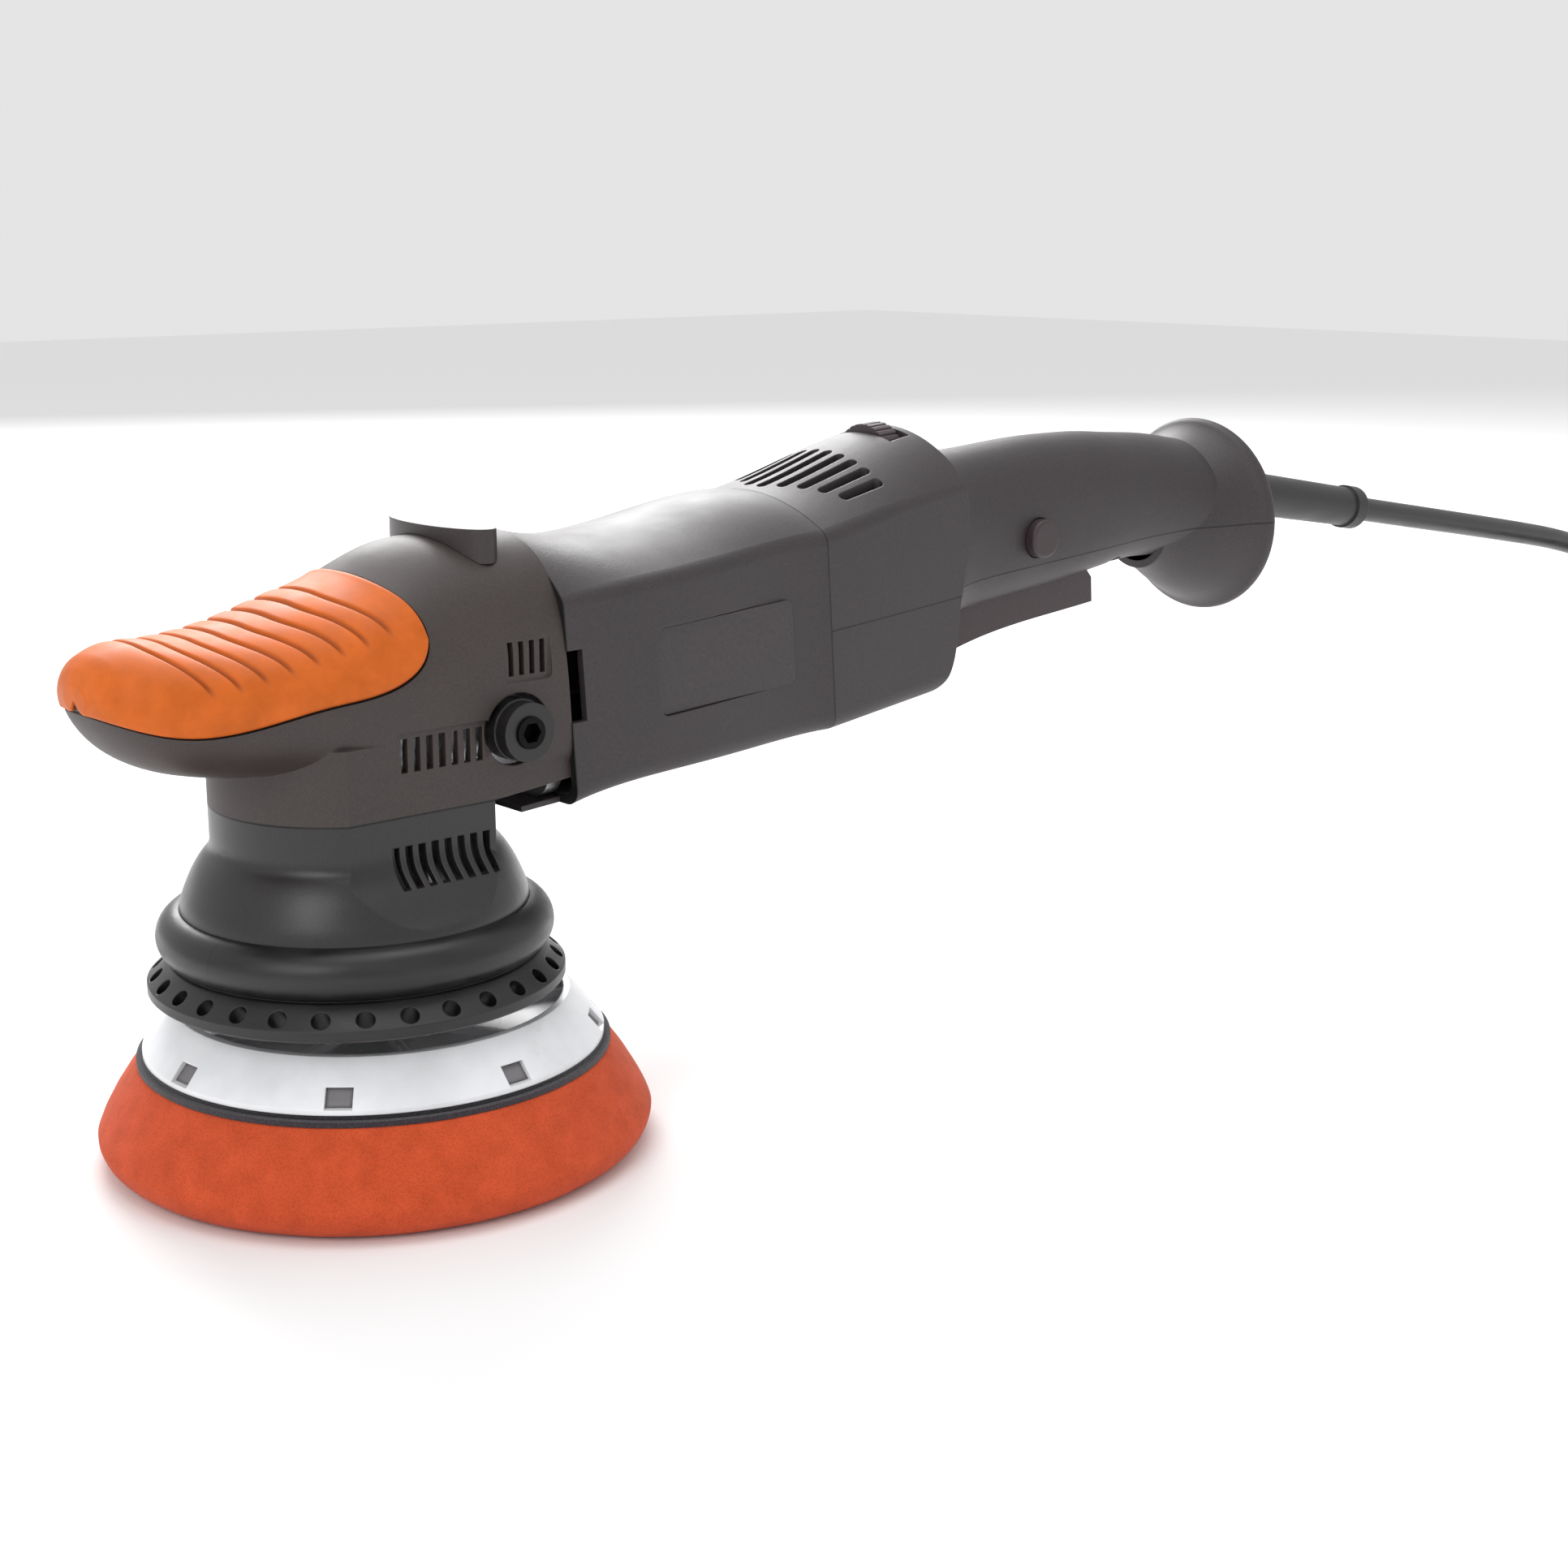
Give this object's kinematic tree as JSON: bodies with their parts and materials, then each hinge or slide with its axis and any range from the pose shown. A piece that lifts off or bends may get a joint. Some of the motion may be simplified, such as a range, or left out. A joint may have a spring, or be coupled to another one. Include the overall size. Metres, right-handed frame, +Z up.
{
  "type": "rotary polisher",
  "caption": "Corded long-throw orbital polisher with a foam pad, palm nose, bar handle with trigger and lock, speed dial, side bolts and a coiled cord.",
  "frame": {"origin": "on the spindle axis, at the working face of the foam pad", "axes": "+X from the head to the handle, +Z up along the spindle; -Y is the side with the lock button"},
  "size_m": [0.918, 0.1965, 0.1852],
  "materials": {
    "foam": "open-cell polyurethane foam",
    "loop": "brushed loop fabric",
    "hook": "hook fabric",
    "plate_white": "moulded white urethane plate",
    "steel": "turned and ground steel",
    "bearing_steel": "ground bearing steel",
    "aluminium": "die-cast aluminium",
    "rubber": "moulded black rubber",
    "housing": "spark-textured glass-filled nylon",
    "cover": "satin moulded cover",
    "grip": "overmoulded soft grip",
    "badge": "plain moulded badge",
    "black_trim": "black moulded trim",
    "label": "blank satin plate",
    "button": "satin moulded control",
    "copper": "copper segments and windings",
    "core": "stacked electrical sheet",
    "fan_plastic": "moulded nylon fan",
    "brass": "folded brass",
    "carbon": "pressed carbon",
    "board": "coated circuit board",
    "cord": "rubber-sheathed cord",
    "plug": "moulded rubber plug",
    "nickel": "nickel-plated brass",
    "tie": "woven closure strap"
  },
  "bodies": {
    "machine": {"spindle_bearing_upper": "bearing_steel", "spindle_bearing_lower": "bearing_steel", "boot_ring": "rubber", "shroud": "housing", "bearing_plate": "aluminium", "gear_housing": "aluminium", "head_cover": "cover", "palm_grip": "grip", "badge_plate": "badge", "side_washers": "black_trim", "side_bolts": "steel", "motor_housing": "housing", "rating_plates": "label", "armature_bearing_front": "bearing_steel", "armature_bearing_rear": "bearing_steel", "stator_core": "core", "field_coils": "copper", "brush_holders": "brass", "carbon_brushes": "carbon", "brush_springs": "steel", "head_screws": "steel", "rear_shell_upper": "housing", "rear_shell_lower": "housing", "handle_screws": "steel", "speed_board": "board", "trigger_pin": "steel", "trigger_spring": "steel", "switch_module": "black_trim", "cord_clamp": "black_trim", "strain_relief": "rubber", "cord_tube": "cord", "cord_coil": "cord", "cord_tie": "tie", "plug_body": "plug", "plug_pins": "nickel"},
    "spindle": {"spindle": "steel", "crown_gear": "steel", "eccentric": "core", "pad_bearings": "bearing_steel"},
    "pad": {"pad_spindle": "steel", "plate_stud": "steel", "backing_plate": "plate_white", "plate_hook_layer": "hook", "pad_loop_layer": "loop", "foam_pad": "foam"},
    "armature": {"armature_shaft": "steel", "armature_core": "core", "armature_windings": "copper", "commutator": "copper", "fan": "fan_plastic", "pinion": "steel"},
    "trigger": {"trigger": "button"},
    "lock_button": {"lock_button": "button"},
    "speed_dial": {"speed_dial": "button"}
  },
  "joints": [
    {"name": "spindle_spin", "type": "hinge", "parent": "machine", "child": "spindle", "pos_m": [0, 0, 0.08], "axis": [0, 0, 1], "continuous": true},
    {"name": "pad_spin", "type": "hinge", "parent": "spindle", "child": "pad", "pos_m": [0.00666, 0.00345, 0.05], "axis": [0, 0, 1], "continuous": true},
    {"name": "motor_spin", "type": "hinge", "parent": "machine", "child": "armature", "pos_m": [0, 0, 0.125], "axis": [0.9979, 0, 0.0652], "continuous": true},
    {"name": "trigger_pull", "type": "hinge", "parent": "machine", "child": "trigger", "pos_m": [0.27298, 0, 0.13423], "axis": [0, 1, 0], "range_deg": [0, 6], "stiffness_Nm_per_rad": 1.5, "springref_deg": -14.32},
    {"name": "lock_press", "type": "slide", "parent": "machine", "child": "lock_button", "axis": [0, 1, 0], "range_m": [0, 0.003], "stiffness_N_per_m": 400, "springref_m": -0.004},
    {"name": "dial_turn", "type": "hinge", "parent": "machine", "child": "speed_dial", "pos_m": [0.18877, 0, 0.17302], "axis": [0.9979, 0, 0.0652], "range_deg": [-135, 135]}
  ],
  "couplings": [
    {"joint": "motor_spin", "follows": "spindle_spin", "ratio": 4}
  ]
}
